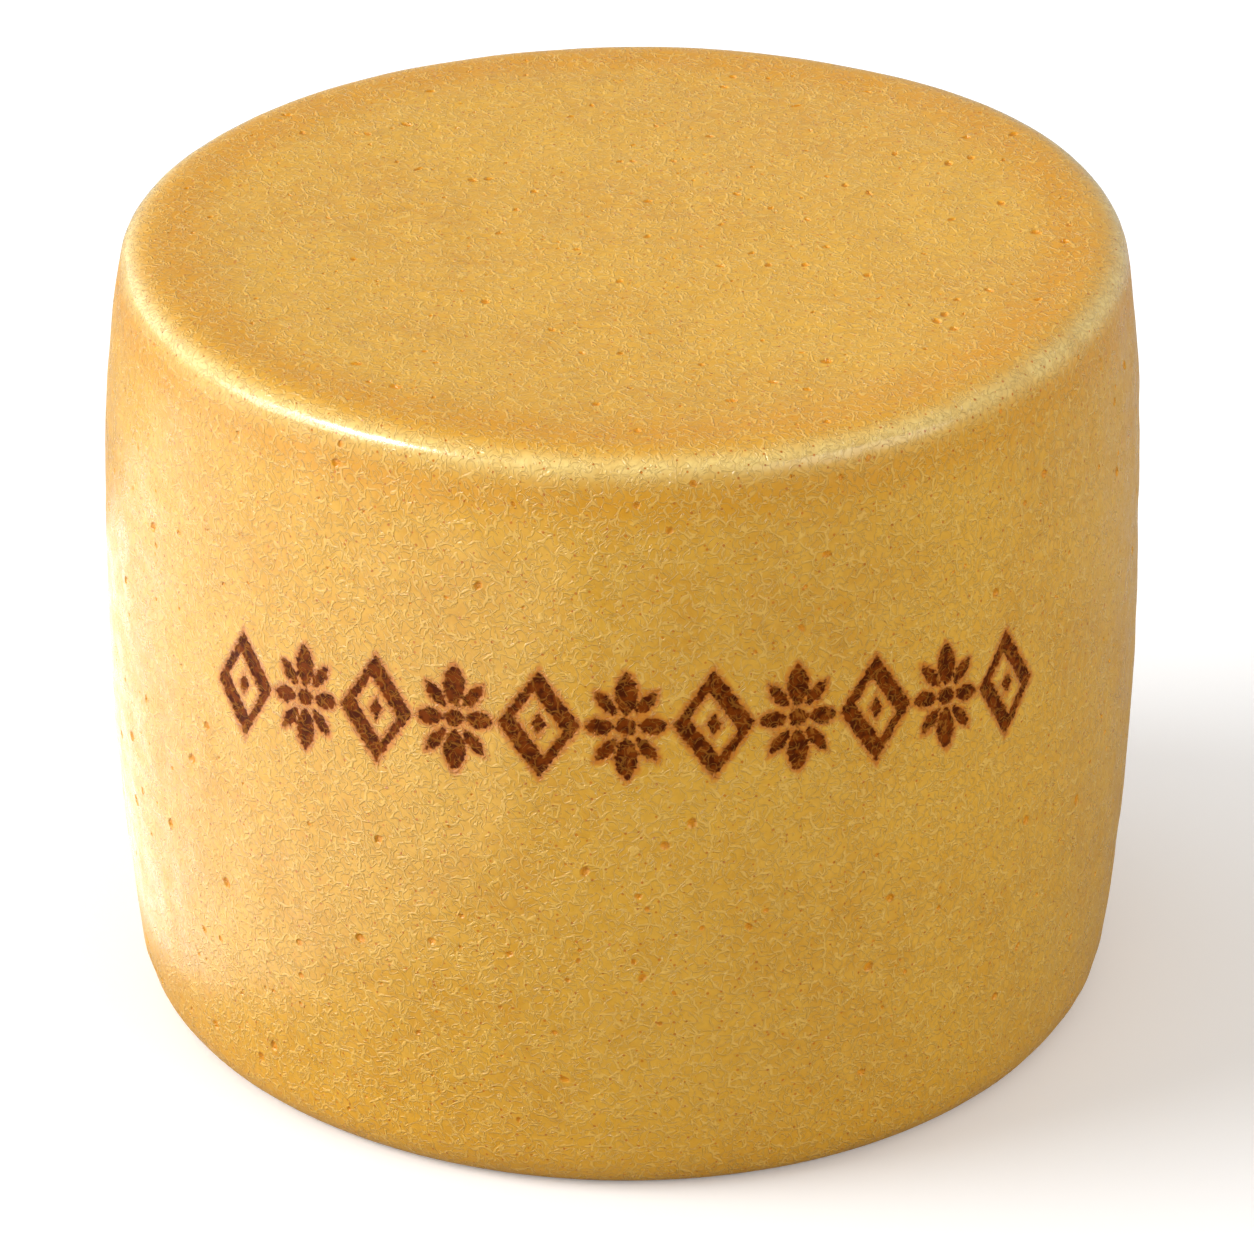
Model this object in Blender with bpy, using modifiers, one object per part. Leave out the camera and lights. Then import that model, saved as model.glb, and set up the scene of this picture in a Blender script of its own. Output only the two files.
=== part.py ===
"""Cheese wheel: one tall drum of hard pressed cheese, uncut and solid.

Metres, +Z up.  The wheel stands on z = 0 and the origin is the middle of its underside.
The body is a turned profile: a flat top, a rim that rolls over into the side, a side that
swells gently at mid height, a softer bottom rim and a flat underside.  The turned body is
then made slightly out of round and lumpy, as a wheel pressed in a cloth-lined hoop is.
"""

import math

import bpy
import numpy as np

# Driving dimensions
WHEEL_RADIUS = 0.160        # half the width at the fullest part of the side
WHEEL_HEIGHT = 0.2447
FULLEST_HEIGHT = 0.117      # height of the fullest part of the side
TOP_DRAW = (0.0073, 3.4)    # how far the side draws in at the top, and by which power of the rise
BOTTOM_DRAW = (0.0092, 1.9)
TOP_RIM = (0.0110, 0.0055)  # rounding of the top rim: inwards, downwards
BOTTOM_RIM = (0.0070, 0.0128)

# How far the wheel is out of round, as shares of its radius, and how each wave is turned
THREE_LOBED = 0.010
THREE_LOBED_TURN = math.radians(234.0)
TWO_LOBED = 0.012
TWO_LOBED_TURN = math.radians(-136.7)

# Low lumps left by the cloth and the hoop
SIDE_LUMP = 0.0006
TOP_LUMP = 0.0005

# Fineness of the faceted solid
COLUMNS = 72
TOP_RINGS = 4
RIM_ROWS = 8
SIDE_ROWS = 14
BOTTOM_RINGS = 3

OBJECT_NAME = "cheese_wheel"
RIND_COLOUR = (0.71, 0.42, 0.10, 1.0)
RIND_ROUGHNESS = 0.5


def clear_objects():
    """Empty the scene, so that the script gives the same wheel whenever it runs."""
    for item in list(bpy.data.objects):
        bpy.data.objects.remove(item, do_unlink=True)


def side_radius(height):
    """Radius of the side before its rims are rounded.

    From the fullest height the side draws in by a power of the share of the way to either end.
    """
    if height > FULLEST_HEIGHT:
        share = (height - FULLEST_HEIGHT) / (WHEEL_HEIGHT - FULLEST_HEIGHT)
        draw, power = TOP_DRAW
    else:
        share = (FULLEST_HEIGHT - height) / FULLEST_HEIGHT
        draw, power = BOTTOM_DRAW
    return WHEEL_RADIUS - draw * share ** power


def rim_arc(depth_in, depth_down, rows):
    """Quarter ellipse as (inwards, from the end face) pairs, from the face to the side."""
    arc = []
    for row in range(rows + 1):
        turn = 0.5 * math.pi * row / rows
        inwards = depth_in * (1.0 - math.sin(turn))
        from_face = depth_down * (1.0 - math.cos(turn))
        arc.append((inwards, from_face))
    return arc


def wheel_profile():
    """Outline of half the wheel as (radius, height), from the top centre to the bottom centre."""
    top_arc = rim_arc(*TOP_RIM, RIM_ROWS)
    bottom_arc = rim_arc(*BOTTOM_RIM, RIM_ROWS)
    top_edge = side_radius(WHEEL_HEIGHT) - TOP_RIM[0]
    bottom_edge = side_radius(0.0) - BOTTOM_RIM[0]

    outline = [(top_edge * ring / TOP_RINGS, WHEEL_HEIGHT) for ring in range(TOP_RINGS)]
    for inwards, below in top_arc:
        height = WHEEL_HEIGHT - below
        outline.append((side_radius(height) - inwards, height))

    side_top = WHEEL_HEIGHT - TOP_RIM[1]
    side_bottom = BOTTOM_RIM[1]
    for row in range(1, SIDE_ROWS):
        height = side_top + (side_bottom - side_top) * row / SIDE_ROWS
        outline.append((side_radius(height), height))

    for inwards, above in reversed(bottom_arc):
        outline.append((side_radius(above) - inwards, above))
    for ring in reversed(range(BOTTOM_RINGS)):
        outline.append((bottom_edge * ring / BOTTOM_RINGS, 0.0))
    return outline


def turned_body():
    """The profile turned through a full circle by a Screw modifier, as a closed mesh."""
    outline = wheel_profile()
    points = [(radius, 0.0, height) for radius, height in outline]
    edges = [(index, index + 1) for index in range(len(points) - 1)]
    profile = bpy.data.meshes.new("wheel_profile")
    profile.from_pydata(points, edges, [])
    wheel = bpy.data.objects.new(OBJECT_NAME, profile)

    collection = bpy.data.collections.new("cheese_wheel")
    bpy.context.scene.collection.children.link(collection)
    collection.objects.link(wheel)

    turning = wheel.modifiers.new("turning", "SCREW")
    turning.axis = "Z"
    turning.angle = 2.0 * math.pi
    turning.steps = COLUMNS
    turning.render_steps = COLUMNS
    turning.use_merge_vertices = True
    turning.merge_threshold = 0.00001

    bpy.context.view_layer.update()
    evaluated = wheel.evaluated_get(bpy.context.evaluated_depsgraph_get())
    body = bpy.data.meshes.new_from_object(evaluated)
    wheel.modifiers.remove(turning)
    wheel.data = body
    body.name = OBJECT_NAME
    bpy.data.meshes.remove(profile)
    return wheel


def press_out_of_round(places):
    """Move the turned body's points (an N x 3 array) to the uneven form of a pressed wheel.

    The radius is scaled by 1 + three-lobed + two-lobed cosine waves in the angle round the
    axis.  The side then gains low lumps, products of waves in angle and in height, and the
    top low waves, both fading to nothing at the underside.
    """
    radius = np.hypot(places[:, 0], places[:, 1])
    angle = np.arctan2(places[:, 1], places[:, 0])
    rise = places[:, 2] / WHEEL_HEIGHT

    lobes = (1.0 + THREE_LOBED * np.cos(3.0 * angle + THREE_LOBED_TURN)
             + TWO_LOBED * np.cos(2.0 * angle + TWO_LOBED_TURN))
    lumps = (0.6 * np.sin(5.0 * angle + 1.1) * np.sin(7.0 * rise + 0.4)
             + 0.4 * np.sin(8.0 * angle - 2.0 + 5.0 * rise))
    outer_share = np.clip(radius / WHEEL_RADIUS, 0.0, 1.0) ** 2
    new_radius = radius * lobes + SIDE_LUMP * lumps * outer_share * np.sin(0.5 * np.pi * rise)

    waves = (np.sin(21.0 * places[:, 0] + 0.8) * np.cos(26.0 * places[:, 1] - 0.5)
             + 0.5 * np.sin(38.0 * places[:, 0] - 30.0 * places[:, 1]))
    places[:, 2] += TOP_LUMP * waves * np.clip(rise, 0.0, 1.0) ** 8
    places[:, 0] = new_radius * np.cos(angle)
    places[:, 1] = new_radius * np.sin(angle)
    return places


def centre_on_origin(places):
    """Slide the points sideways until their box is centred on the Z axis."""
    for axis in (0, 1):
        places[:, axis] -= 0.5 * (places[:, axis].min() + places[:, axis].max())
    return places


def shape_wheel(wheel):
    """Apply the unevenness to the wheel's mesh."""
    body = wheel.data
    flat = np.empty(3 * len(body.vertices), dtype=np.float32)
    body.vertices.foreach_get("co", flat)
    places = flat.reshape(-1, 3).astype(np.float64)
    places = centre_on_origin(press_out_of_round(places))
    body.vertices.foreach_set("co", places.astype(np.float32).ravel())
    body.update()
    body.shade_smooth()


def rind_material():
    """Waxy golden rind."""
    rind = bpy.data.materials.new("cheese_rind")
    rind.use_nodes = True
    shader = rind.node_tree.nodes["Principled BSDF"]
    shader.inputs["Base Color"].default_value = RIND_COLOUR
    shader.inputs["Roughness"].default_value = RIND_ROUGHNESS
    shader.inputs["Metallic"].default_value = 0.0
    return rind


def build():
    """Make the one object: the whole wheel."""
    clear_objects()
    wheel = turned_body()
    shape_wheel(wheel)
    wheel.data.materials.append(rind_material())


build()
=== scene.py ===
import math

import bpy
import numpy as np
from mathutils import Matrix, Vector


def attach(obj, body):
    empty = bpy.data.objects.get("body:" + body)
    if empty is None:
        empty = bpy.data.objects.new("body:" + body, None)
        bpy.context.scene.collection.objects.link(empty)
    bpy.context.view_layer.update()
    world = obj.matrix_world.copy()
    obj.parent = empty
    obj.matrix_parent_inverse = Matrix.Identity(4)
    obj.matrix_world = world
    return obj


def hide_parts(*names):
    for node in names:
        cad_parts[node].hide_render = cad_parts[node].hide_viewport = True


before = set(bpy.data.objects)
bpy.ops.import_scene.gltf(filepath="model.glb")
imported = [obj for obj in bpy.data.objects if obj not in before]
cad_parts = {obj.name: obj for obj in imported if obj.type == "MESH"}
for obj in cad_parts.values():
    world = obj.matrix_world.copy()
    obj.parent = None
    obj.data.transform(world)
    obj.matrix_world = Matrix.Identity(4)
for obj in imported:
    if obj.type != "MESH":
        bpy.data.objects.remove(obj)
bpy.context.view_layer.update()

# Looks of the cheese wheel: a waxy golden rind with curled strands of pressed curd, open
# pits, and a band of ornament burnt into the front.  Metres, +Z up, front towards -Y.

MM = 0.001

# The turned form, as the solid has it
WHEEL_RADIUS = 0.160
WHEEL_HEIGHT = 0.2447
FULLEST_HEIGHT = 0.117
TOP_DRAW = (0.0073, 3.4)        # how far the side draws in at the top, and by which power
BOTTOM_DRAW = (0.0092, 1.9)
TOP_RIM = (0.0110, 0.0055)      # inwards, downwards
BOTTOM_RIM = (0.0070, 0.0128)
RIM_SOFTNESS = 1.5 * MM         # how far the rims' corners are smoothed along the outline
THREE_LOBED = 0.010
THREE_LOBED_TURN = math.radians(234.0)
TWO_LOBED = 0.012
TWO_LOBED_TURN = math.radians(-136.7)
SIDE_LUMP = 0.0006
TOP_LUMP = 0.0005

# Lower, finer lumps of the rind, in millimetres, and how far from foot and rim they are flattened
WIDE_LUMP = 0.11
NARROW_LUMP = 0.05
LUMP_FOOT = 0.010
LUMP_RIM = 0.012

# Fineness of the rind's surface
COLUMNS = 256                   # round the wheel, a multiple of 4
BLOCK = COLUMNS // 4            # cells along the square block in the middle of an end
BLOCK_REACH = 0.097
RING_RADIUS = 0.134             # circle that the square block's surround has become
RING_ROWS = 11
ROW_STEP = 3.8 * MM
ROW_TURN = math.radians(8.0)
FINE = 4                        # each cell under the burnt band is cut this fine
FIRST_COLUMN = math.radians(-135.0)
FRONT = math.radians(-90.0)

# The burnt band
MARKS = 11
MARK_PITCH = 25.2               # millimetres along the side
MARK_HEIGHT = 35.0
BAND_HEIGHT = 0.1618
BAND_SAG = 12.0                 # how much lower the band's ends sit, millimetres
BAND_END = 127.0                # millimetres round from the front where the sag is reached
BURN_RECESS = 0.30 * MM
BURN_REACH = 4.0                # furthest distance from a mark that is recorded, millimetres


# ---------------------------------------------------------------- form of the wheel

def side_radius(height):
    """Full radius less the draw times a power of the share of the way to the top or the foot."""
    rise = np.clip((height - FULLEST_HEIGHT) / (WHEEL_HEIGHT - FULLEST_HEIGHT), 0.0, None)
    fall = np.clip((FULLEST_HEIGHT - height) / FULLEST_HEIGHT, 0.0, None)
    return WHEEL_RADIUS - TOP_DRAW[0] * rise ** TOP_DRAW[1] - BOTTOM_DRAW[0] * fall ** BOTTOM_DRAW[1]


def dense_outline():
    """Radius and height closely spaced along half the outline, from ring circle to ring circle.

    A straight run on the top, a quarter ellipse at the rim taken off the side's curve, the
    side, the lower quarter ellipse and a straight run on the underside, then softened.
    """
    turn = np.linspace(0.0, 0.5 * np.pi, 600)
    top_z = WHEEL_HEIGHT - TOP_RIM[1] * (1.0 - np.cos(turn))
    top_r = side_radius(top_z) - TOP_RIM[0] * (1.0 - np.sin(turn))
    side_z = np.linspace(WHEEL_HEIGHT - TOP_RIM[1], BOTTOM_RIM[1], 900)
    low_z = BOTTOM_RIM[1] * (1.0 - np.cos(turn[::-1]))
    low_r = side_radius(low_z) - BOTTOM_RIM[0] * (1.0 - np.sin(turn[::-1]))
    flat_in = np.linspace(RING_RADIUS, top_r[0], 100)
    flat_out = np.linspace(low_r[-1], RING_RADIUS, 100)
    radius = np.concatenate([flat_in, top_r[1:], side_radius(side_z)[1:], low_r[1:], flat_out[1:]])
    height = np.concatenate([np.full(100, WHEEL_HEIGHT), top_z[1:], side_z[1:], low_z[1:],
                             np.zeros(99)])
    return softened(radius, height)


def softened(radius, height):
    """The outline at even steps, averaged along itself with a bell curve RIM_SOFTNESS wide."""
    step = 0.1 * MM
    travel = np.concatenate([[0.0], np.cumsum(np.hypot(np.diff(radius), np.diff(height)))])
    even = np.linspace(0.0, travel[-1], int(travel[-1] / step))
    reach = int(4.0 * RIM_SOFTNESS / step)
    bell = np.exp(-0.5 * (np.arange(-reach, reach + 1) * step / RIM_SOFTNESS) ** 2)
    bell /= bell.sum()
    drawn = []
    for values in (radius, height):
        padded = np.pad(np.interp(even, travel, values), reach, "reflect", reflect_type="odd")
        drawn.append(np.convolve(padded, bell, "valid"))
    return drawn


class Outline:
    """The outline read by row number.

    Rows are even in (length / ROW_STEP + turning / ROW_TURN), so they crowd at the rims.
    """

    def __init__(self):
        radius, height = dense_outline()
        dr, dz = np.diff(radius), np.diff(height)
        length = np.hypot(dr, dz)
        heading = np.unwrap(np.arctan2(-dz, dr))
        turning = np.abs(np.diff(heading, prepend=heading[0]))
        effort = np.concatenate([[0.0], np.cumsum(length / ROW_STEP + turning / ROW_TURN)])
        self.rows = int(round(effort[-1]))
        self.row_at = effort * self.rows / effort[-1]
        self.radius = radius
        self.height = height
        self.heading = np.append(heading, heading[-1])
        self.travel = np.concatenate([[0.0], np.cumsum(length)])

    def read(self, row):
        """Radius, height, heading and distance travelled at rows, counted from the ring circle."""
        return tuple(np.interp(row, self.row_at, values)
                     for values in (self.radius, self.height, self.heading, self.travel))


def out_of_round(places):
    """The pressed wheel's unevenness, the same waves as the solid has.

    The radius is scaled by 1 + three-lobed + two-lobed cosine waves in the angle; the side gains
    products of waves in angle and height, and the top low waves that fade to the underside.
    """
    radius = np.hypot(places[:, 0], places[:, 1])
    angle = np.arctan2(places[:, 1], places[:, 0])
    rise = places[:, 2] / WHEEL_HEIGHT
    lobes = (1.0 + THREE_LOBED * np.cos(3.0 * angle + THREE_LOBED_TURN)
             + TWO_LOBED * np.cos(2.0 * angle + TWO_LOBED_TURN))
    lumps = (0.6 * np.sin(5.0 * angle + 1.1) * np.sin(7.0 * rise + 0.4)
             + 0.4 * np.sin(8.0 * angle - 2.0 + 5.0 * rise))
    outer_share = np.clip(radius / WHEEL_RADIUS, 0.0, 1.0) ** 2
    new_radius = radius * lobes + SIDE_LUMP * lumps * outer_share * np.sin(0.5 * np.pi * rise)
    waves = (np.sin(21.0 * places[:, 0] + 0.8) * np.cos(26.0 * places[:, 1] - 0.5)
             + 0.5 * np.sin(38.0 * places[:, 0] - 30.0 * places[:, 1]))
    new_height = places[:, 2] + TOP_LUMP * waves * np.clip(rise, 0.0, 1.0) ** 8
    return np.stack([new_radius * np.cos(angle), new_radius * np.sin(angle), new_height], 1)


def plane_waves(places, wavelength, count, seed):
    """Smooth lumps of about unit height: a sum of sine waves in random directions and phases."""
    draw = np.random.default_rng(seed)
    heading = draw.normal(size=(count, 3))
    heading /= np.linalg.norm(heading, axis=1)[:, None]
    lengths = wavelength * draw.uniform(0.75, 1.5, count)
    phase = draw.uniform(0.0, 2.0 * np.pi, count)
    total = np.zeros(len(places))
    for way, length, start in zip(heading, lengths, phase):
        total += np.sin(places @ way * (2.0 * np.pi / length) + start)
    return total * math.sqrt(2.0 / count)


# ---------------------------------------------------------------- burnt ornament

def lozenge_distance(x, y, half_width, half_height, inset=(0.0, 0.0)):
    """Signed distance to a rhombus; its rising and falling sides may be set in by two amounts."""
    norm = math.hypot(half_width, half_height)
    reach = half_width * half_height / norm
    rising = np.abs(x * half_height + y * half_width) / norm - (reach - inset[0])
    falling = np.abs(x * half_height - y * half_width) / norm - (reach - inset[1])
    return np.maximum(rising, falling)


def petal_distance(x, y, turn, near, far, half_width):
    """Signed distance to a petal: two equal circles' common part, between near and far out."""
    along = x * math.cos(turn) + y * math.sin(turn) - 0.5 * (near + far)
    across = -x * math.sin(turn) + y * math.cos(turn)
    half_length = 0.5 * (far - near)
    offset = (half_length ** 2 - half_width ** 2) / (2.0 * half_width)
    bend = offset + half_width
    return np.maximum(np.hypot(along, across - offset), np.hypot(along, across + offset)) - bend


def hollow_lozenge(x, y):
    """A tall open lozenge, two sides heavy and two light, round a small solid lozenge."""
    outer = lozenge_distance(x, y, 12.0, 0.5 * MARK_HEIGHT)
    inner = lozenge_distance(x, y, 12.0, 0.5 * MARK_HEIGHT, inset=(5.2, 2.8))
    ring = np.maximum(outer, -inner)
    return np.minimum(ring, lozenge_distance(x, y, 2.2, 3.6))


def rosette(x, y):
    """Two long petals, two short ones across and four slanting ones round a small disc."""
    nearest = np.hypot(x, y) - 2.8
    petals = ((90.0, 3.4, 0.5 * MARK_HEIGHT, 3.3), (0.0, 3.4, 11.8, 2.7), (52.0, 4.4, 14.4, 2.0),
              (-52.0, 4.4, 14.4, 2.0))
    for turn, near, far, half_width in petals:
        for half_turn in (0.0, 180.0):
            petal = petal_distance(x, y, math.radians(turn + half_turn), near, far, half_width)
            nearest = np.minimum(nearest, petal)
    return nearest


def burn_distance(angle, height):
    """Signed distance in millimetres to the nearest burnt mark, inside negative.

    Along is the arc round from the front; the band's middle height falls with along squared.
    Marks take turns, lozenge and rosette, symmetrically about the front.
    """
    along = (angle - FRONT) * WHEEL_RADIUS / MM
    up = (height - BAND_HEIGHT) / MM + BAND_SAG * (along / BAND_END) ** 2
    nearest = np.full(np.shape(along), BURN_REACH)
    for mark in range(MARKS):
        middle = (mark - 0.5 * (MARKS - 1)) * MARK_PITCH
        drawn = hollow_lozenge if mark % 2 == 0 else rosette
        nearest = np.minimum(nearest, drawn(along - middle, up))
    return nearest


# ---------------------------------------------------------------- surface of the rind

class Surface:
    """Vertices and faces of the rind, gathered block by block."""

    def __init__(self):
        self.outline = Outline()
        self.places = []
        self.normals = []
        self.pit = []
        self.sink = []
        self.count = 0
        self.faces = []

    def add_points(self, places, normals, pit=None, sink=None):
        """Adds vertices (any grid shape, last axis xyz) and gives their numbers in that shape."""
        shape = places.shape[:-1]
        total = int(np.prod(shape))
        self.places.append(places.reshape(-1, 3))
        self.normals.append(np.broadcast_to(normals, places.shape).reshape(-1, 3))
        self.pit.append(np.zeros(total) if pit is None else np.broadcast_to(pit, shape).ravel())
        self.sink.append(np.zeros(total) if sink is None else np.broadcast_to(sink, shape).ravel())
        numbers = np.arange(self.count, self.count + total).reshape(shape)
        self.count += total
        return numbers

    def add_faces(self, corners):
        """Adds faces given as an array of corner numbers, one face along the last axis."""
        self.faces.append(corners.reshape(-1, corners.shape[-1]))

    def on_side(self, row, column):
        """Places and outward normals at fractional rows and columns of the turned part."""
        radius, height, heading, _ = self.outline.read(row)
        angle = FIRST_COLUMN + 2.0 * np.pi * column / COLUMNS
        shape = np.broadcast_shapes(np.shape(radius), np.shape(angle))
        radius, height, heading, angle = (np.broadcast_to(v, shape)
                                          for v in (radius, height, heading, angle))
        places = np.stack([radius * np.cos(angle), radius * np.sin(angle), height], -1)
        normals = np.stack([np.sin(heading) * np.cos(angle), np.sin(heading) * np.sin(angle),
                            np.cos(heading)], -1)
        return places, normals


def block_points():
    """A square of (BLOCK + 1) squared points, half way between a square and a disc.

    The square's lines are tan-spaced so that its edge points look out at equal angles.
    """
    line = np.tan(np.linspace(-0.25 * np.pi, 0.25 * np.pi, BLOCK + 1))
    a, b = np.meshgrid(line, line, indexing="ij")
    disc_a = a * np.sqrt(1.0 - 0.5 * b * b)
    disc_b = b * np.sqrt(1.0 - 0.5 * a * a)
    return BLOCK_REACH * np.stack([0.4 * a + 0.5 * disc_a, 0.4 * b + 0.5 * disc_b], -1)


def block_edge(numbers):
    """The outer points of a block, anticlockwise from its first corner."""
    return np.concatenate([numbers[:-1, 0], numbers[-1, :-1], numbers[:0:-1, -1],
                           numbers[0, :0:-1]])


def add_end(surface, height, upward):
    """One end of the wheel: a square block and its surround, eased out to the ring circle.

    Gives the block's numbers and the surround's numbers, row by row outwards.
    """
    normal = np.array([0.0, 0.0, 1.0 if upward else -1.0])
    flat = block_points()
    places = np.concatenate([flat, np.full(flat.shape[:2] + (1,), height)], -1)
    block = surface.add_points(places, normal)

    edge = np.stack([block_edge(flat[..., 0]), block_edge(flat[..., 1])], -1)
    angle = FIRST_COLUMN + 2.0 * np.pi * np.arange(COLUMNS) / COLUMNS
    circle = RING_RADIUS * np.stack([np.cos(angle), np.sin(angle)], -1)
    share = (np.arange(1, RING_ROWS) / RING_ROWS)[:, None, None]
    spread = edge + share * (circle - edge)
    places = np.concatenate([spread, np.full(spread.shape[:2] + (1,), height)], -1)
    surround = surface.add_points(places, normal)
    return block, np.concatenate([block_edge(block)[None], surround])


def quads(numbers, closed):
    """Corner numbers of the cells of a grid, anticlockwise from outside; closed joins columns."""
    right = np.roll(numbers, -1, axis=1) if closed else numbers[:, 1:]
    left = numbers if closed else numbers[:, :-1]
    return np.stack([left[:-1], left[1:], right[1:], right[:-1]], -1)


def add_fans(surface, rims):
    """Closes polygons (faces x corners) with a middle point each, so no face is long or bent."""
    places = surface_places(surface)[rims]
    normals = np.concatenate(surface.normals)[rims]
    middle = surface.add_points(places.mean(1), unit(normals.mean(1)))
    following = np.roll(rims, -1, axis=1)
    centre = np.broadcast_to(middle[:, None], rims.shape)
    surface.add_faces(np.stack([rims, following, centre], -1))


def surface_places(surface):
    """All vertices gathered so far."""
    return np.concatenate(surface.places)


def unit(vectors):
    """Vectors scaled to length one."""
    return vectors / np.linalg.norm(vectors, axis=-1, keepdims=True)


def refine_burnt_cells(surface, grid):
    """Cuts each cell that a burnt mark touches into FINE x FINE, and fans its neighbours.

    A fine lattice covers the band's window.  A coarse cell is cut when its nearest lattice
    point lies within REFINE of a mark.  Gives which grid cells are no longer plain quads.
    """
    refine_within = 1.5
    rows = np.arange(grid.shape[0])
    heights = surface.outline.read(rows - RING_ROWS)[1]
    wanted = (heights < BAND_HEIGHT + 0.026) & (heights > BAND_HEIGHT - 0.044)
    wanted &= (rows > RING_ROWS) & (rows < grid.shape[0] - RING_ROWS)
    first_row, last_row = rows[wanted].min(), rows[wanted].max()
    half_span = int(math.ceil((0.5 * MARKS * MARK_PITCH + 8.0) * MM / WHEEL_RADIUS
                              * COLUMNS / (2.0 * np.pi)))
    front_column = int(round((FRONT - FIRST_COLUMN) / (2.0 * np.pi) * COLUMNS))
    first_column = front_column - half_span
    cell_rows, cell_columns = last_row - first_row, 2 * half_span

    lattice_row = first_row - RING_ROWS + np.arange(cell_rows * FINE + 1)[:, None] / FINE
    lattice_column = first_column + np.arange(cell_columns * FINE + 1)[None, :] / FINE
    places, normals = surface.on_side(lattice_row, lattice_column)
    angle = np.broadcast_to(FIRST_COLUMN + 2.0 * np.pi * lattice_column / COLUMNS,
                            places.shape[:2])
    distance = burn_distance(angle, places[..., 2])

    near = np.full((cell_rows, cell_columns), BURN_REACH)
    for step_row in range(FINE + 1):
        for step_column in range(FINE + 1):
            corner = distance[step_row:, step_column:][::FINE, ::FINE]
            near = np.minimum(near, corner[:cell_rows, :cell_columns])
    cut = near < refine_within
    cut[0] = cut[-1] = False
    cut[:, 0] = cut[:, -1] = False

    numbers = surface.add_points(places, normals)
    row_numbers = first_row + np.arange(cell_rows + 1)
    column_numbers = (first_column + np.arange(cell_columns + 1)) % COLUMNS
    numbers[::FINE, ::FINE] = grid[np.ix_(row_numbers, column_numbers)]

    cut_row, cut_column = np.nonzero(cut)
    for step_row in range(FINE):
        for step_column in range(FINE):
            i = cut_row * FINE + step_row
            j = cut_column * FINE + step_column
            surface.add_faces(np.stack([numbers[i, j], numbers[i + 1, j],
                                        numbers[i + 1, j + 1], numbers[i, j + 1]], -1))

    # A plain cell beside a cut one takes the cut edge's points into its own rim.
    left, right, above, below = (np.zeros_like(cut) for _ in range(4))
    left[:, 1:] = cut[:, :-1]
    right[:, :-1] = cut[:, 1:]
    above[1:] = cut[:-1]
    below[:-1] = cut[1:]
    beside = (left | right | above | below) & ~cut
    for sides in range(1, 16):
        has = [bool(sides & bit) for bit in (1, 2, 4, 8)]
        match = beside & (left == has[0]) & (below == has[1])
        match &= (right == has[2]) & (above == has[3])
        i, j = (FINE * v for v in np.nonzero(match))
        if len(i) == 0:
            continue
        rim = []
        legs = ((0, 0, 1, 0), (FINE, 0, 0, 1), (FINE, FINE, -1, 0), (0, FINE, 0, -1))
        for cut_side, (down, across, step_down, step_across) in zip(has, legs):
            for step in range(FINE if cut_side else 1):
                rim.append(numbers[i + down + step * step_down, j + across + step * step_across])
        add_fans(surface, np.stack(rim, -1))

    taken = np.zeros((grid.shape[0] - 1, COLUMNS), dtype=bool)
    window = np.ix_(row_numbers[:-1], column_numbers[:-1])
    taken[window] = cut | beside
    return taken


# A pit, from its outermost ring in: share of its radius, share of its depth, how deep it looks as
# painted shade
LARGE_PIT = ((1.30, 0.0, 0.0), (1.06, -0.07, 0.0), (0.94, 0.28, 0.45), (0.74, 0.74, 0.9),
             (0.40, 0.96, 1.0))
SMALL_PIT = ((1.34, 0.0, 0.0), (1.02, 0.05, 0.1), (0.74, 0.72, 0.85), (0.36, 0.98, 1.0))


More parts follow.
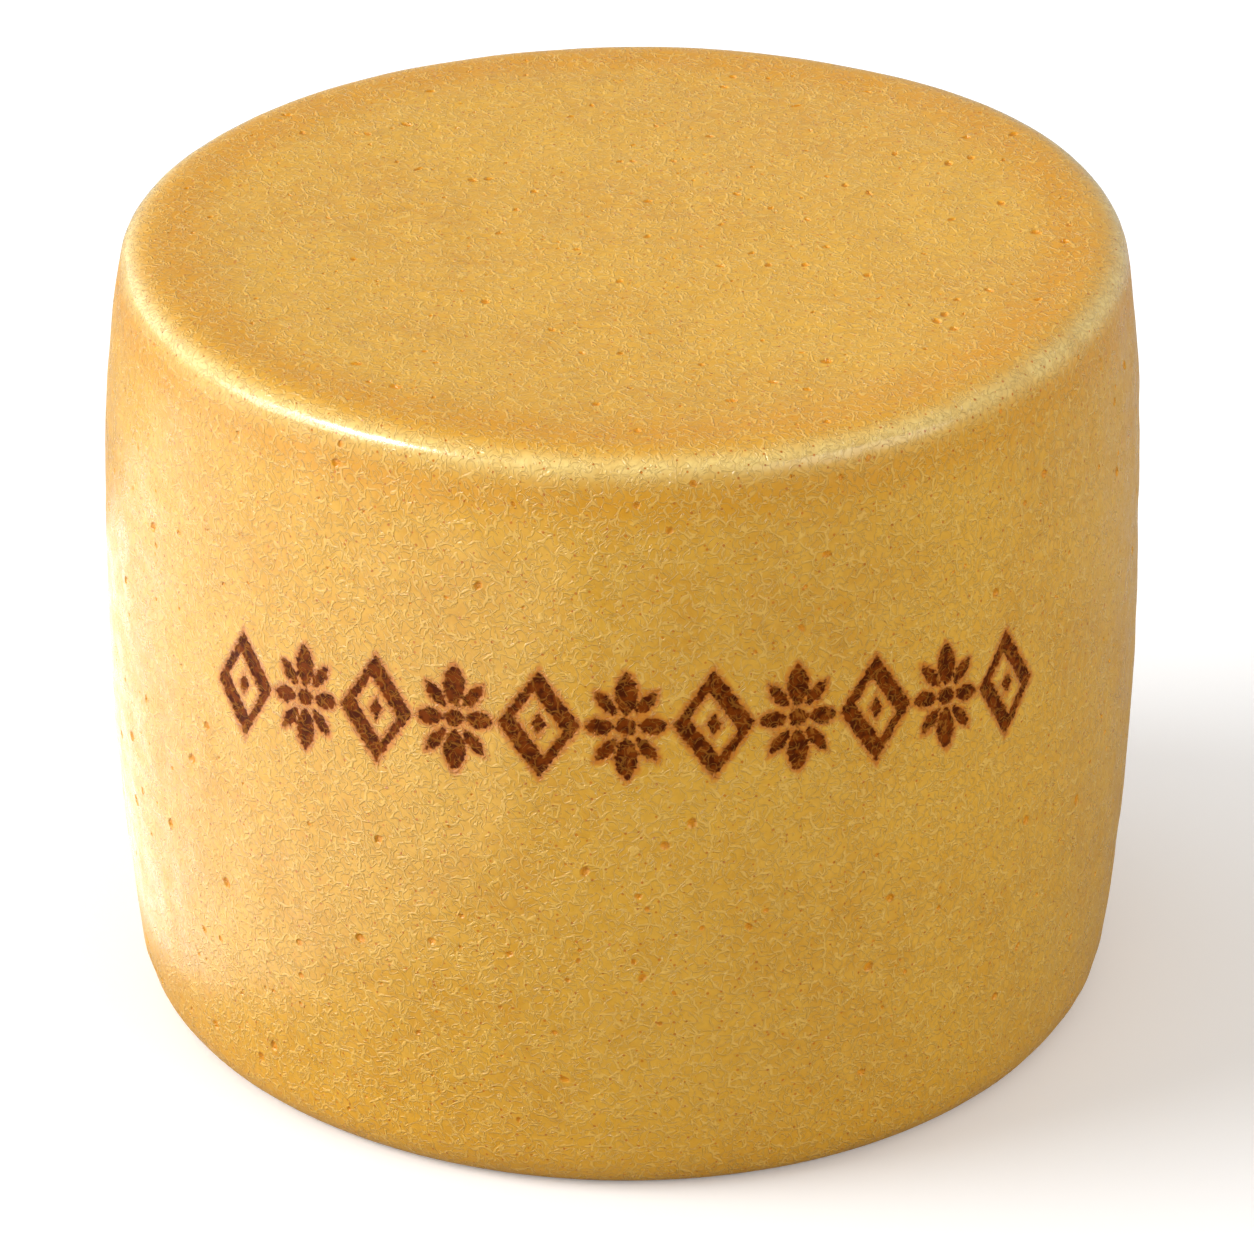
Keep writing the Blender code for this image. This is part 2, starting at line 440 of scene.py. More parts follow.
def add_pits(surface, rims, radius, depth, rings, points, draw):
    """Opens a pit in each rim of 4 or 8 points: sunk rings of points, closed by a middle point.

    The ring's radius is r (1 + stretch cos 2(a - lean)) (1 + tail max(0, cos(a - lean))^5), so a
    pit is round, oval or drop-shaped; rings lie in the rim by bilinear shares of its corners.
    """
    corners = rims[:, ::rims.shape[1] // 4]
    total = len(corners)
    places = surface_places(surface)
    normals = np.concatenate(surface.normals)
    across = np.linalg.norm(places[corners[:, 3]] - places[corners[:, 0]], axis=1)
    down = np.linalg.norm(places[corners[:, 1]] - places[corners[:, 0]], axis=1)
    room = 0.47 * np.minimum(across, down)

    turn = np.radians(135.0) + 2.0 * np.pi * np.arange(points) / points
    lean = draw.uniform(0.0, 2.0 * np.pi, total)[:, None]
    stretch = draw.uniform(0.0, 0.20, total)[:, None]
    tail = (draw.uniform(0.0, 1.0, total) ** 3)[:, None] * 0.6
    shape = (1.0 + stretch * np.cos(2.0 * (turn - lean)))
    shape = shape * (1.0 + tail * np.clip(np.cos(turn - lean), 0.0, 1.0) ** 5)
    shape = shape * (1.0 + 0.06 * draw.normal(size=(total, points)))
    reach = rings[0][0] * shape.max(1)
    radius = np.minimum(radius, 0.96 * room / reach)
    depth = depth * radius
    slack = room - radius * reach
    shift_x, shift_y = (draw.uniform(-1.0, 1.0, (2, total)) * slack * 0.9)[:, :, None]

    def share_of_cell(x, y):
        """Bilinear shares of the corners for x to the right and y up from the cell's middle."""
        u = 0.5 + x / across[:, None]
        v = 0.5 - y / down[:, None]
        weights = np.stack([(1 - u) * (1 - v), (1 - u) * v, u * v, u * (1 - v)], -1)
        spot = np.einsum("nkc,ncx->nkx", weights, places[corners])
        facing = np.einsum("nkc,ncx->nkx", weights, normals[corners])
        return spot, unit(facing)

    last = None
    for share, sunk, look in rings:
        reach_x = share * radius[:, None] * shape * np.cos(turn)
        reach_y = share * radius[:, None] * shape * np.sin(turn)
        spot, facing = share_of_cell(shift_x + reach_x, shift_y + reach_y)
        ring = surface.add_points(spot, facing, pit=look, sink=sunk * depth[:, None])
        following = np.roll(ring, -1, axis=1)
        if last is None:
            add_collar(surface, rims, ring)
        else:
            surface.add_faces(np.stack([last, np.roll(last, -1, axis=1), following, ring], -1))
        last = ring
    spot, facing = share_of_cell(shift_x, shift_y)
    middle = surface.add_points(spot, facing, pit=1.0, sink=1.02 * depth[:, None])
    surface.add_faces(np.stack([last, np.roll(last, -1, axis=1),
                                np.broadcast_to(middle, last.shape)], -1))


def add_collar(surface, rims, ring):
    """Joins a rim's points to a pit's outermost ring with triangles."""
    sides, points = rims.shape[1], ring.shape[1]
    share = points // sides
    for side in range(sides):
        start, end = rims[:, side], rims[:, (side + 1) % sides]
        first = side * share
        middle = first + share // 2
        surface.add_faces(np.stack([start, end, ring[:, middle % points]], -1))
        for step in range(first, first + share):
            corner = start if step < middle else end
            near, far = ring[:, step % points], ring[:, (step + 1) % points]
            surface.add_faces(np.stack([corner, far, near], -1))


def block_rims(numbers, cell_number, closed):
    """Rims of 8 points round 2 x 2 blocks of cells that are all free, and the cells in each.

    cell_number gives each cell's place in the list of free cells, or -1.
    """
    columns = numbers.shape[1] - (0 if closed else 1)
    row = np.arange(0, numbers.shape[0] - 2, 2)[:, None]
    column = np.arange(0, columns - 1, 2)[None, :]
    inside = np.stack([cell_number[row + down, column + across]
                       for down in (0, 1) for across in (0, 1)], -1)
    steps = ((0, 0), (1, 0), (2, 0), (2, 1), (2, 2), (1, 2), (0, 2), (0, 1))
    rim = np.stack([numbers[row + down, (column + across) % numbers.shape[1]]
                    for down, across in steps], -1)
    free = (inside >= 0).all(-1)
    return rim[free], inside[free]


# How many pits, their least and greatest radius in millimetres, and their depth in radii
WIDE_PITS = (230, 1.10, 1.75, 0.40)
PLAIN_PITS = (260, 0.70, 1.05, 0.45)
FINE_PITS = (400, 0.42, 0.65, 0.60)


def pit_favour(places):
    """How readily pits open at each place: slow waves, few at the foot."""
    favour = np.exp(0.35 * plane_waves(places, 0.045, 14, 5))
    return favour * np.where(places[:, 2] < 0.010, 0.15, 1.0)


def pit_sizes(kind, draw):
    """Radii of one kind of pit, small ones commonest."""
    count, least, greatest, _ = kind
    return (least + (greatest - least) * draw.uniform(0.0, 1.0, count) ** 1.2) * MM


def open_pits(surface, cells, blocks):
    """Opens pits in chosen cells and blocks of cells; gives which cells are no longer plain."""
    draw = np.random.default_rng(41)
    places = surface_places(surface)
    opened = np.zeros(len(cells), dtype=bool)

    rims = np.concatenate([rim for rim, _ in blocks])
    inside = np.concatenate([cell for _, cell in blocks])
    favour = pit_favour(places[rims].mean(1))
    chosen = draw.choice(len(rims), WIDE_PITS[0], replace=False, p=favour / favour.sum())
    add_pits(surface, rims[chosen], pit_sizes(WIDE_PITS, draw), WIDE_PITS[3], LARGE_PIT, 16, draw)
    opened[inside[chosen]] = True

    for kind, rings, points in ((PLAIN_PITS, LARGE_PIT, 12), (FINE_PITS, SMALL_PIT, 8)):
        favour = pit_favour(places[cells].mean(1)) * ~opened
        chosen = draw.choice(len(cells), kind[0], replace=False, p=favour / favour.sum())
        add_pits(surface, cells[chosen], pit_sizes(kind, draw), kind[3], rings, points, draw)
        opened[chosen] = True
    return opened


def build_surface():
    """The whole closed rind: two ends, the turned part, the burnt band's fine cells, the pits."""
    surface = Surface()
    top_block, top_rows = add_end(surface, WHEEL_HEIGHT, True)
    low_block, low_rows = add_end(surface, 0.0, False)
    row = np.arange(surface.outline.rows + 1)[:, None]
    places, normals = surface.on_side(row, np.arange(COLUMNS)[None, :])
    turned = surface.add_points(places, normals)
    grid = np.concatenate([top_rows, turned, low_rows[::-1]])

    taken = refine_burnt_cells(surface, grid)
    plain = quads(grid, closed=True)
    ends = quads(top_block, closed=False)

    heading = surface.outline.read(np.arange(plain.shape[0]) - RING_ROWS + 0.5)[2]
    level = np.abs(np.cos(heading))
    even = ((level > 0.995) | (level < 0.35))[:, None] & ~taken
    candidates = np.concatenate([ends.reshape(-1, 4), plain[even]])
    end_cells = np.arange(ends.shape[0] * ends.shape[1]).reshape(ends.shape[:2])
    grid_cells = np.where(even, end_cells.size - 1 + np.cumsum(even).reshape(even.shape), -1)
    blocks = (block_rims(top_block, end_cells, False), block_rims(grid, grid_cells, True))
    opened = open_pits(surface, candidates, blocks)
    surface.add_faces(candidates[~opened])
    surface.add_faces(plain[~taken & ~even])
    surface.add_faces(quads(low_block[::-1], closed=False))
    return surface


def wrapped(angle):
    """Angles brought to between minus and plus half a turn."""
    return (angle + np.pi) % (2.0 * np.pi) - np.pi


class SkinMaps:
    """Two maps of the rind, both worked out from each face's corners before the wheel is pressed.

    "skin" is in metres: round the side, arc from the front against distance travelled down the
    outline; on an end, the same distance outwards from its middle in the corner's direction.
    "OFBake" lays the front half, the back half and both ends side by side in the unit square.
    """

    END_SHIFT = 2.0                 # keeps the ends' patterns off the side's
    GAP = 0.004

    def __init__(self, outline):
        flat = len(outline.radius) // 2
        self.top_radius, self.top_travel = outline.radius[:flat], outline.travel[:flat]
        self.low_radius = outline.radius[flat:][::-1]
        self.low_travel = (outline.travel[-1] - outline.travel[flat:])[::-1]
        self.height, self.travel = outline.height[::-1], outline.travel[::-1]
        tipped = outline.heading
        self.first = np.interp(0.25 * np.pi, tipped, outline.travel)
        self.last = np.interp(0.75 * np.pi, tipped, outline.travel)
        self.end_reach = RING_RADIUS + max(self.first, outline.travel[-1] - self.last)

    def end_map(self, corner, radius_table, travel_table):
        """Corner's direction from the axis times the distance travelled out from the middle."""
        radius = np.hypot(corner[..., 0], corner[..., 1])
        past = np.interp(radius, radius_table, travel_table)
        reach = np.where(radius > RING_RADIUS, RING_RADIUS + past, radius)
        scale = reach / np.maximum(radius, 1e-9)
        return corner[..., :2] * scale[..., None]

    def of_faces(self, corner, normal):
        """Both maps for faces x corners x xyz places and normals."""
        middle, facing = corner.mean(1), normal.mean(1)
        upright = facing[:, 2] / np.linalg.norm(facing, axis=1)
        around = np.arctan2(middle[:, 1], middle[:, 0])
        turn = wrapped(np.arctan2(corner[..., 1], corner[..., 0]) - around[:, None])
        turn = turn + wrapped(around - FRONT)[:, None]
        down = np.interp(corner[..., 2], self.height, self.travel)
        skin = np.stack([turn * WHEEL_RADIUS, down], -1)

        behind = np.abs(wrapped(around - FRONT)) > 0.5 * np.pi
        from_half = np.where(behind[:, None], wrapped(turn - np.pi), turn) * WHEEL_RADIUS
        side_width = np.pi * WHEEL_RADIUS
        side_height = self.last - self.first
        bake = np.stack([from_half + 0.5 * side_width + self.GAP,
                         self.last - down + self.GAP], -1)
        bake[behind, :, 1] += side_height + 2.0 * self.GAP

        end_size = 2.0 * self.end_reach
        left = side_width + 3.0 * self.GAP + self.end_reach
        for level, tables, shift in ((1.0, (self.top_radius, self.top_travel), self.END_SHIFT),
                                     (-1.0, (self.low_radius, self.low_travel), -self.END_SHIFT)):
            here = upright * level > math.sqrt(0.5)
            flat = self.end_map(corner[here], *tables)
            skin[here] = flat + (shift, 0.0)
            rise = self.GAP + self.end_reach + (end_size + self.GAP if level < 0.0 else 0.0)
            bake[here] = flat * (1.0, level) + (left, rise)
        whole = (side_width + end_size + 4.0 * self.GAP,
                 max(2.0 * side_height, 2.0 * end_size) + 4.0 * self.GAP)
        return skin, bake / whole


# Deeper colour near the edges, as middle and half width in metres, and each one's share
TOP_TINT = (0.1370, 0.0105)         # radius, on the top
UNDER_RIM_TINT = (0.0135, 0.0075)   # distance below the top, on the side
UNDER_RIM_SHARE = 0.85
FOOT_TINT = 0.024                   # height, on the side
FOOT_SHARE = 0.5
TOP_DEPTH = 0.003                   # what is nearer the top than this counts as the top
LEVEL = 1e-6                        # what is nearer the top than this is quite flat
CREST_WIDTH = 0.0040                # half width of the pale line where the rim turns over, partly worn rind and partly painted highlight


def edge_tint(places):
    """How far the rind deepens near its edges: bell curves in radius on top, height on the side."""
    radius = np.hypot(places[:, 0], places[:, 1])
    height = places[:, 2]
    below = WHEEL_HEIGHT - height
    middle, width = TOP_TINT
    on_top = np.where(below < TOP_DEPTH, np.exp(-((middle - radius) / width) ** 2), 0.0)
    on_side = radius > RING_RADIUS
    middle, width = UNDER_RIM_TINT
    under_rim = np.where(on_side, np.exp(-((below - middle) / width) ** 2), 0.0)
    foot = np.where(on_side, np.exp(-(height / FOOT_TINT) ** 2), 0.0)
    return np.clip(on_top + UNDER_RIM_SHARE * under_rim + FOOT_SHARE * foot, 0.0, 1.0)


def crest_share(places, outline):
    """Bell curve in the distance along the outline from where the rim faces half up."""
    height, travel = outline.height[::-1], outline.travel[::-1]
    radius = np.hypot(places[:, 0], places[:, 1])
    down = np.interp(places[:, 2], height, travel)
    crest = np.interp(0.25 * np.pi, outline.heading, outline.travel)
    flat = places[:, 2] > WHEEL_HEIGHT - LEVEL
    down = np.where(flat, radius - RING_RADIUS, down)
    return np.exp(-((down - crest) / CREST_WIDTH) ** 2)


def lump_heights(places):
    """Two sums of waves, in millimetres, fading to nothing at the foot and low by the top rim."""
    height = places[:, 2]
    lumps = (WIDE_LUMP * plane_waves(places, 0.022, 26, 3)
             + NARROW_LUMP * plane_waves(places, 0.011, 30, 8))
    lumps *= np.clip(height / LUMP_FOOT, 0.0, 1.0)
    by_rim = np.exp(-((WHEEL_HEIGHT - height) / LUMP_RIM) ** 2) * (height < WHEEL_HEIGHT - LEVEL)
    return lumps * (1.0 - 0.7 * by_rim)


def make_rind():
    """Turns the gathered surface into one closed mesh object with its attributes."""
    surface = build_surface()
    places = surface_places(surface)
    normals = np.concatenate(surface.normals)
    pit = np.concatenate(surface.pit)
    sink = np.concatenate(surface.sink)

    angle = np.arctan2(places[:, 1], places[:, 0])
    burn = np.full(len(places), BURN_REACH)
    facing = np.hypot(normals[:, 0], normals[:, 1]) > 0.9
    burn[facing] = burn_distance(angle[facing], places[facing, 2])
    tint = edge_tint(places)
    crest = crest_share(places, surface.outline)

    lumps = lump_heights(places)
    recess = BURN_RECESS * np.clip((0.5 - burn) / 1.2, 0.0, 1.0)
    shaped = out_of_round(places)
    low, high = shaped.min(0), shaped.max(0)
    shaped[:, :2] -= 0.5 * (low + high)[:2]
    shaped += normals * (lumps * MM - sink - recess)[:, None]

    maps = SkinMaps(surface.outline)
    drawn = [maps.of_faces(places[faces], normals[faces]) for faces in surface.faces]
    corners = np.concatenate([faces.ravel() for faces in surface.faces])
    sizes = np.concatenate([np.full(len(faces), faces.shape[1]) for faces in surface.faces])
    used, corners = np.unique(corners, return_inverse=True)
    mesh = bpy.data.meshes.new("rind")
    mesh.vertices.add(len(used))
    mesh.vertices.foreach_set("co", shaped[used].astype(np.float32).ravel())
    mesh.loops.add(len(corners))
    mesh.loops.foreach_set("vertex_index", corners.astype(np.int32))
    mesh.polygons.add(len(sizes))
    starts = np.concatenate([[0], np.cumsum(sizes)[:-1]])
    mesh.polygons.foreach_set("loop_start", starts.astype(np.int32))
    mesh.update(calc_edges=True)
    mesh.shade_smooth()
    for name, values in (("pit", pit), ("burn", burn), ("tint", tint), ("crest", crest)):
        layer = mesh.attributes.new(name, "FLOAT", "POINT")
        layer.data.foreach_set("value", values[used].astype(np.float32))
    for kind, name in enumerate(("skin", "OFBake")):
        layer = mesh.uv_layers.new(name=name)
        spots = np.concatenate([pair[kind].reshape(-1, 2) for pair in drawn])
        layer.uv.foreach_set("vector", spots.astype(np.float32).ravel())
    wheel = bpy.data.objects.new("cheese_rind", mesh)
    bpy.context.scene.collection.objects.link(wheel)
    return wheel


# ---------------------------------------------------------------- finish

def rgb(red, green, blue):
    """A screen colour, 0 to 255, as linear light with full alpha."""
    def linear(value):
        share = value / 255.0
        return share / 12.92 if share <= 0.04045 else ((share + 0.055) / 1.055) ** 2.4
    return (linear(red), linear(green), linear(blue), 1.0)


GOLD = rgb(229, 171, 46)
GOLD_BROWN = rgb(219, 158, 38)
GOLD_PALE = rgb(234, 180, 62)
CREST_PALE_AND_HIGHLIGHT = rgb(250, 218, 132)
EDGE_ORANGE = rgb(222, 152, 6)
STRAND_PALE = rgb(246, 204, 106)
GRAIN_AND_GROOVE_SHADE_BROWN = rgb(200, 138, 30)
DOT_ORANGE = rgb(204, 118, 0)
PAINTED_GLINT_WHITE = rgb(255, 238, 190)
PIT_SHADE_ORANGE = rgb(230, 150, 2)
SCORCH = rgb(200, 108, 0)
BURN_DARK = rgb(80, 28, 0)
BURN_BROWN = rgb(124, 54, 2)
BURN_STRAND = rgb(190, 122, 40)


class Recipe:
    """Short calls for building a material's nodes."""

    def __init__(self, name):
        self.material = bpy.data.materials.new(name)
        self.material.use_nodes = True
        self.tree = self.material.node_tree
        self.shader = self.tree.nodes["Principled BSDF"]

    def node(self, kind, settings=None, **inputs):
        """A node with its settings made and its inputs linked or set by name."""
        node = self.tree.nodes.new(kind)
        for name, value in (settings or {}).items():
            setattr(node, name, value)
        for name, value in inputs.items():
            self.feed(node.inputs[name.replace("_", " ")], value)
        return node

    def feed(self, socket, value):
        """Links a socket, or sets a plain value."""
        if isinstance(value, bpy.types.NodeSocket):
            self.tree.links.new(value, socket)
        else:
            socket.default_value = value

    def sum_up(self, operation, first, second=0.0, third=0.0):
        """One arithmetic step."""
        node = self.node("ShaderNodeMath", {"operation": operation})
        for socket, value in zip(node.inputs, (first, second, third)):
            self.feed(socket, value)
        return node.outputs[0]

    def vector(self, operation, first, second):
        """One arithmetic step on vectors."""
        node = self.node("ShaderNodeVectorMath", {"operation": operation})
        self.feed(node.inputs[0], first)
        self.feed(node.inputs["Scale"] if operation == "SCALE" else node.inputs[1], second)
        return node.outputs[0]

    def noise(self, place, size, detail=0.0, output="Fac", flat=True):
        """Cloudy noise with features of about the given size in millimetres."""
        node = self.node("ShaderNodeTexNoise", {"noise_dimensions": "2D" if flat else "3D"},
                         Vector=place, Scale=1000.0 / size, Detail=detail)
        return node.outputs[output]

    def cells(self, place, size, feature):
        """Rounded cells of about the given size in millimetres."""
        return self.node("ShaderNodeTexVoronoi",
                         {"feature": feature, "voronoi_dimensions": "2D"},
                         Vector=place, Scale=1000.0 / size)

    def step(self, value, low, high, bottom=0.0, top=1.0):
        """A smooth step from bottom at low to top at high; low may be the greater."""
        flip = low > high
        if flip:
            low, high, bottom, top = high, low, top, bottom
        node = self.node("ShaderNodeMapRange", {"interpolation_type": "SMOOTHSTEP"})
        for name, number in (("From Min", low), ("From Max", high), ("To Min", bottom),
                             ("To Max", top)):
            node.inputs[name].default_value = number
        self.feed(node.inputs["Value"], value)
        return node.outputs[0]

    def blend(self, share, first, second):
        """Mixes two colours."""
        node = self.node("ShaderNodeMix", {"data_type": "RGBA"})
        self.feed(node.inputs["Factor"], share)
        self.feed(node.inputs[6], first)
        self.feed(node.inputs[7], second)
        return node.outputs[2]

    def attribute(self, name):
        """A number stored on the mesh."""
        return self.node("ShaderNodeAttribute", {"attribute_name": name}).outputs["Fac"]


CURLS = ((3.3, 0.50, 0.056, 0.31), (2.6, 0.47, 0.062, 0.83), (4.4, 0.54, 0.044, 1.37),
         (3.0, 0.52, 0.054, 2.21))      # size in millimetres, level, width, shift in metres


def strand_relief(recipe, place):
    """Curled strands of pressed curd and the grooves beside them, each from 0 to 1.

    A strand runs where noise crosses a level, or along the border of a rounded cell.  The place
    is pushed about by finer noise, so that the lines curl, and masks break them up.
    """
    push = recipe.vector("SUBTRACT", recipe.noise(place, 2.3, output="Color"), (0.5, 0.5, 0.5))
    moved = recipe.vector("ADD", place, recipe.vector("SCALE", push, 1.3 * MM))
    masks = recipe.node("ShaderNodeSeparateColor",
                        Color=recipe.noise(moved, 3.8, output="Color")).outputs

    outline = recipe.cells(moved, 5.0, "DISTANCE_TO_EDGE").outputs["Distance"]
    kept = recipe.step(masks[0], 0.47, 0.56)
    strands = recipe.sum_up("MULTIPLY", recipe.step(outline, 0.10, 0.03), kept)
    grooves = recipe.sum_up("MULTIPLY", recipe.step(outline, 0.23, 0.10), kept)
    for number, (size, level, width, shift) in enumerate(CURLS):
        start = recipe.vector("ADD", moved, (shift, -0.7 * shift, 0.0))
        away = recipe.sum_up("ABSOLUTE",
                             recipe.sum_up("SUBTRACT", recipe.noise(start, size), level))
        mask = recipe.step(masks[number % 3], *((0.52, 0.42) if number % 2 else (0.49, 0.59)))
        line = recipe.sum_up("MULTIPLY", recipe.step(away, width, 0.25 * width), mask)
        flank = recipe.sum_up("MULTIPLY", recipe.step(away, 2.6 * width, width), mask)
        strands = recipe.sum_up("MAXIMUM", strands, line)
        grooves = recipe.sum_up("MAXIMUM", grooves, flank)
    return strands, grooves


def pin_dots(recipe, place, size, least, spread):
    """Scattered dots round the middles of cells, of radius least to least plus spread, in cell sizes."""
    node = recipe.cells(place, size, "F1")
    chance = recipe.node("ShaderNodeSeparateColor", Color=node.outputs["Color"]).outputs[0]
    reach = recipe.sum_up("MULTIPLY_ADD", chance, spread, least)
    gap = recipe.sum_up("SUBTRACT", node.outputs["Distance"], reach)
    return recipe.step(gap, 0.015, -0.035)


def rind_colour(recipe, place, skin, strands, grooves):
    """Mottled gold, deeper at the edges and paler on the crest (partly painted highlight), with strands
    beside painted groove shade, dots, painted glints, and pits painted with shade.
    """
    wide = recipe.noise(place, 46.0, 2.0, flat=False)
    middling = recipe.noise(place, 12.0, 3.0, flat=False)
    grain = recipe.noise(skin, 2.4, 1.0)
    curds = recipe.noise(skin, 5.5, 1.0)
    colour = recipe.blend(recipe.step(wide, 0.30, 0.70), GOLD_BROWN, GOLD)
    colour = recipe.blend(recipe.step(middling, 0.40, 0.75, 0.0, 0.50), colour, GOLD_PALE)
    colour = recipe.blend(recipe.step(curds, 0.42, 0.66, 0.0, 0.45), colour, GOLD_PALE)
    patchy = recipe.step(middling, 0.28, 0.60, 0.66, 1.0)
    edge_share = recipe.sum_up("MULTIPLY", recipe.attribute("tint"), patchy)
    colour = recipe.blend(edge_share, colour, EDGE_ORANGE)
    # The crest is painted paler: partly worn rind, partly a painted highlight where the rim faces half
    # up.
    crest_pale_and_highlight_share = recipe.sum_up("MULTIPLY", recipe.attribute("crest"),
                               recipe.step(middling, 0.30, 0.60, 0.60, 0.95))
    colour = recipe.blend(crest_pale_and_highlight_share, colour, CREST_PALE_AND_HIGHLIGHT)
    colour = recipe.blend(recipe.step(grain, 0.62, 0.36, 0.0, 0.16), colour, GRAIN_AND_GROOVE_SHADE_BROWN)
    # Painted shade: the grooves beside the strands are darkened in colour as well as sunk in the bump.
    colour = recipe.blend(recipe.sum_up("MULTIPLY", grooves, 0.12), colour, GRAIN_AND_GROOVE_SHADE_BROWN)
    colour = recipe.blend(recipe.sum_up("MULTIPLY", strands, 0.42), colour, STRAND_PALE)
    dots = pin_dots(recipe, skin, 4.8, 0.030, 0.075)
    # Painted glints: sparse white specks painted into the colour in place of tiny highlights.
    painted_glints = pin_dots(recipe, recipe.vector("ADD", skin, (0.7, 0.4, 0.0)), 6.4, -0.045, 0.090)
    colour = recipe.blend(recipe.sum_up("MULTIPLY", dots, 0.95), colour, DOT_ORANGE)
    colour = recipe.blend(recipe.sum_up("MULTIPLY", painted_glints, 0.55), colour, PAINTED_GLINT_WHITE)
    # Painted shade: pits are coloured deeper orange by how deep they look, standing in for their shade
    # and bounced light.
    return recipe.blend(recipe.attribute("pit"), colour, PIT_SHADE_ORANGE), dots, grain


def rind_finish():
    """Waxy golden rind with pale strands, pinholes and burnt marks."""
    recipe = Recipe("golden rind")
    place = recipe.node("ShaderNodeTexCoord").outputs["Object"]
    skin = recipe.node("ShaderNodeUVMap", {"uv_map": "skin"}).outputs["UV"]
    strands, grooves = strand_relief(recipe, skin)
    colour, dots, grain = rind_colour(recipe, place, skin, strands, grooves)

    ragged = recipe.sum_up("MULTIPLY_ADD", recipe.noise(skin, 1.6, 1.0), 1.7, -0.85)
    edge = recipe.sum_up("ADD", recipe.attribute("burn"), ragged)
    scorched = recipe.step(edge, 2.2, 0.1)
    burnt = recipe.step(edge, 0.30, -0.35)
    char = recipe.blend(recipe.step(recipe.noise(skin, 3.2, 2.0), 0.36, 0.62),
                        BURN_DARK, BURN_BROWN)
    char = recipe.blend(recipe.sum_up("MULTIPLY", strands, 0.38), char, BURN_STRAND)
    colour = recipe.blend(recipe.sum_up("MULTIPLY", scorched, 0.85), colour, SCORCH)
    colour = recipe.blend(burnt, colour, char)

    relief = recipe.sum_up("MULTIPLY", strands, 0.22)
    relief = recipe.sum_up("MULTIPLY_ADD", grooves, -0.02, relief)
    relief = recipe.sum_up("MULTIPLY_ADD", dots, -0.01, relief)
    relief = recipe.sum_up("MULTIPLY_ADD", grain, 0.12, relief)
    relief = recipe.sum_up("MULTIPLY_ADD", burnt, -0.08, relief)
    bump = recipe.node("ShaderNodeBump", Strength=1.0, Distance=MM, Height=relief)

    crest = recipe.attribute("crest")
    gloss = recipe.step(recipe.noise(skin, 9.0, 1.0), 0.3, 0.7, 0.27, 0.40)
    gloss = recipe.sum_up("MULTIPLY_ADD", burnt, 0.20, gloss)
    gloss = recipe.sum_up("MULTIPLY_ADD", crest, -0.10, gloss)
    unburnt = recipe.sum_up("SUBTRACT", 1.0, burnt)
    wax = recipe.sum_up("MULTIPLY", recipe.sum_up("MULTIPLY_ADD", crest, 0.55, 0.12), unburnt)
    recipe.feed(recipe.shader.inputs["Base Color"], colour)
    recipe.feed(recipe.shader.inputs["Roughness"], gloss)
    recipe.feed(recipe.shader.inputs["Normal"], bump.outputs["Normal"])
    recipe.feed(recipe.shader.inputs["Coat Weight"], wax)
    recipe.feed(recipe.shader.inputs["Specular IOR Level"],
                recipe.sum_up("MULTIPLY_ADD", burnt, -0.37, 0.42))
    recipe.shader.inputs["IOR"].default_value = 1.45
    recipe.shader.inputs["Coat Roughness"].default_value = 0.18
    return recipe.material


# ---------------------------------------------------------------- floor, light and camera

FLOOR_WHITE = 0.97
FLOOR_GLOW = 0.15                   # lifts the seen floor until only contact shadows show
BOUNCE_GREY = 0.45                  # what the wheel is lit by from below
SHEEN_GLOW = 2.6                    # a bright card on the floor to the left, seen only as sheen
CARD_REACH = (-2.5, -1.0, -0.168, 0.29)     # left, front, right and back edges


def flat_floor(name, depth, grey, glow, reach=(-9.0, -9.0, 9.0, 9.0)):
    """A level rectangle a little below the wheel's foot, from one corner to the other."""
    left, front, right, back = reach
    mesh = bpy.data.meshes.new(name)
    mesh.from_pydata([(left, front, -depth), (right, front, -depth), (right, back, -depth),
                      (left, back, -depth)], [], [(0, 1, 2, 3)])
    floor = bpy.data.objects.new(name, mesh)
    bpy.context.scene.collection.objects.link(floor)
    recipe = Recipe(name)
    recipe.shader.inputs["Base Color"].default_value = (grey, grey, grey, 1.0)
    recipe.shader.inputs["Roughness"].default_value = 1.0
    recipe.shader.inputs["Specular IOR Level"].default_value = 0.0
    recipe.shader.inputs["Emission Color"].default_value = (1.0, 1.0, 1.0, 1.0)
    recipe.shader.inputs["Emission Strength"].default_value = glow
    mesh.materials.append(recipe.material)
    return floor


def make_floor():
    """A bright floor that the camera sees, and a greyer one that gives the bounced light."""
    seen = flat_floor("floor", 0.0002, FLOOR_WHITE, FLOOR_GLOW)
    seen.visible_diffuse = False
    seen.visible_glossy = False
    seen.visible_shadow = False
    bounce = flat_floor("bounce_floor", 0.0004, BOUNCE_GREY, 0.0)
    bounce.visible_camera = False
    card = flat_floor("sheen_card", 0.0003, 0.0, SHEEN_GLOW, CARD_REACH)
    card.visible_camera = False
    card.visible_diffuse = False
    card.visible_shadow = False


SKY_LIGHT = 0.50
LEFT_GLOW = 1.5                     # a broad white wall to the left and behind
LEFT_GLOW_FROM = (112.0, 6.0)       # degrees round to the left from the front, degrees up
# name, degrees round to the left, degrees up, spread in degrees, strength, lights the body too
LAMPS = (("key", 81.0, 27.0, 40.0, 2.55, True), ("fill", -56.0, 16.0, 50.0, 1.18, True),
         ("glint", 72.0, 42.0, 22.0, 3.00, False))


def direction(turn, rise):
    """Unit vector towards a place so many degrees round to the left, and so many up."""
    turn, rise = math.radians(turn), math.radians(rise)
    return Vector((-math.sin(turn) * math.cos(rise), -math.cos(turn) * math.cos(rise),
                   math.sin(rise)))


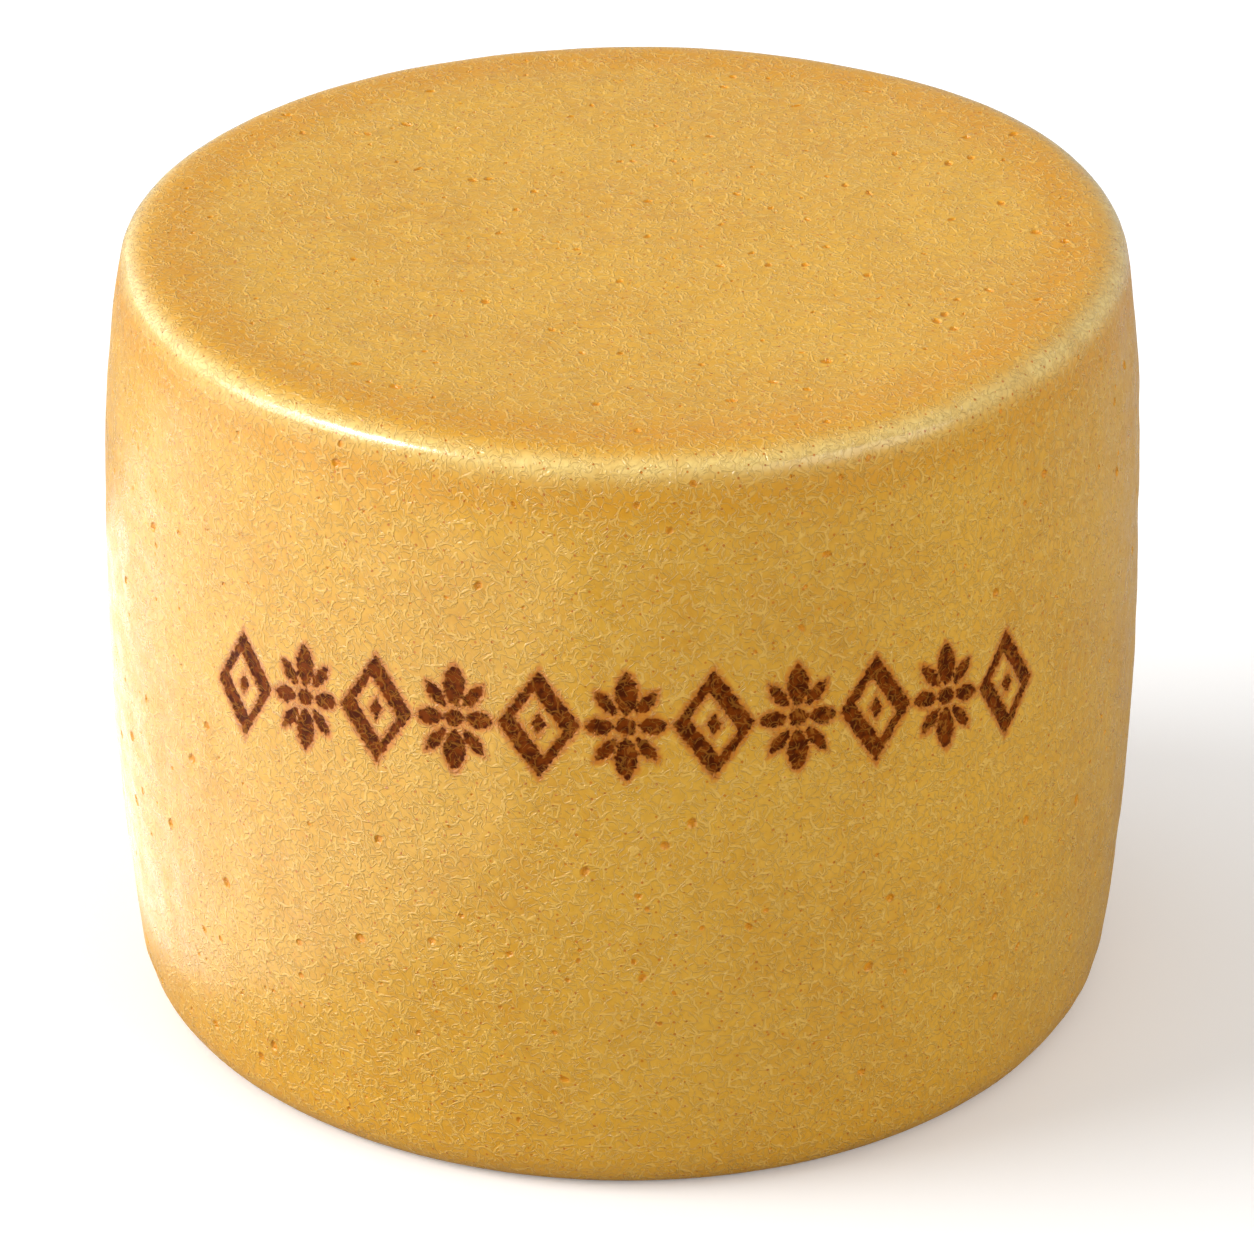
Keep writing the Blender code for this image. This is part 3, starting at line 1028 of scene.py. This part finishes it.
def make_lights():
    """White surroundings, brightest to the left, with a broad white key and a weak white fill."""
    world = bpy.data.worlds.new("studio")
    world.use_nodes = True
    tree = world.node_tree
    sky = tree.nodes["Background"]
    sky.inputs["Color"].default_value = (1.0, 1.0, 1.0, 1.0)
    way = tree.nodes.new("ShaderNodeTexCoord")
    aim = tree.nodes.new("ShaderNodeVectorMath")
    aim.operation = "DOT_PRODUCT"
    aim.inputs[1].default_value = direction(*LEFT_GLOW_FROM)
    strength = tree.nodes.new("ShaderNodeMapRange")
    strength.interpolation_type = "SMOOTHSTEP"
    for name, value in (("From Min", 0.60), ("From Max", 0.95), ("To Min", SKY_LIGHT),
                        ("To Max", SKY_LIGHT + LEFT_GLOW)):
        strength.inputs[name].default_value = value
    tree.links.new(way.outputs["Generated"], aim.inputs[0])
    tree.links.new(aim.outputs["Value"], strength.inputs["Value"])
    tree.links.new(strength.outputs[0], sky.inputs["Strength"])
    bpy.context.scene.world = world

    for name, turn, rise, spread, energy, lights_body in LAMPS:
        lamp = bpy.data.lights.new(name, "SUN")
        lamp.energy = energy
        lamp.angle = math.radians(spread)
        lamp.color = (1.0, 1.0, 1.0)
        holder = bpy.data.objects.new(name, lamp)
        holder.visible_diffuse = lights_body
        holder.rotation_mode = "QUATERNION"
        holder.rotation_quaternion = direction(turn, rise).to_track_quat("Z", "Y")
        holder.location = direction(turn, rise) * 3.0
        bpy.context.scene.collection.objects.link(holder)


CAMERA_RISE = math.radians(26.9)
CAMERA_DISTANCE = 2.6
CAMERA_LENS = 241.1
CAMERA_TARGET = Vector((0.0012, 0.0, 0.1124))


def make_camera():
    """Camera in front, looking down on the wheel."""
    data = bpy.data.cameras.new("camera")
    data.lens = CAMERA_LENS
    data.sensor_width = 36.0
    camera = bpy.data.objects.new("camera", data)
    back = Vector((0.0, -math.cos(CAMERA_RISE), math.sin(CAMERA_RISE)))
    camera.location = CAMERA_TARGET + back * CAMERA_DISTANCE
    camera.rotation_mode = "QUATERNION"
    camera.rotation_quaternion = back.to_track_quat("Z", "Y")
    bpy.context.scene.collection.objects.link(camera)
    bpy.context.scene.camera = camera


def main():
    """Makes the rind, sets it in place of the plain solid, and sets the stage."""
    bpy.context.scene.view_settings.view_transform = "Standard"
    wheel = make_rind()
    wheel.data.materials.append(rind_finish())
    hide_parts("cheese_wheel")
    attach(wheel, "root")
    make_floor()
    make_lights()
    make_camera()


main()
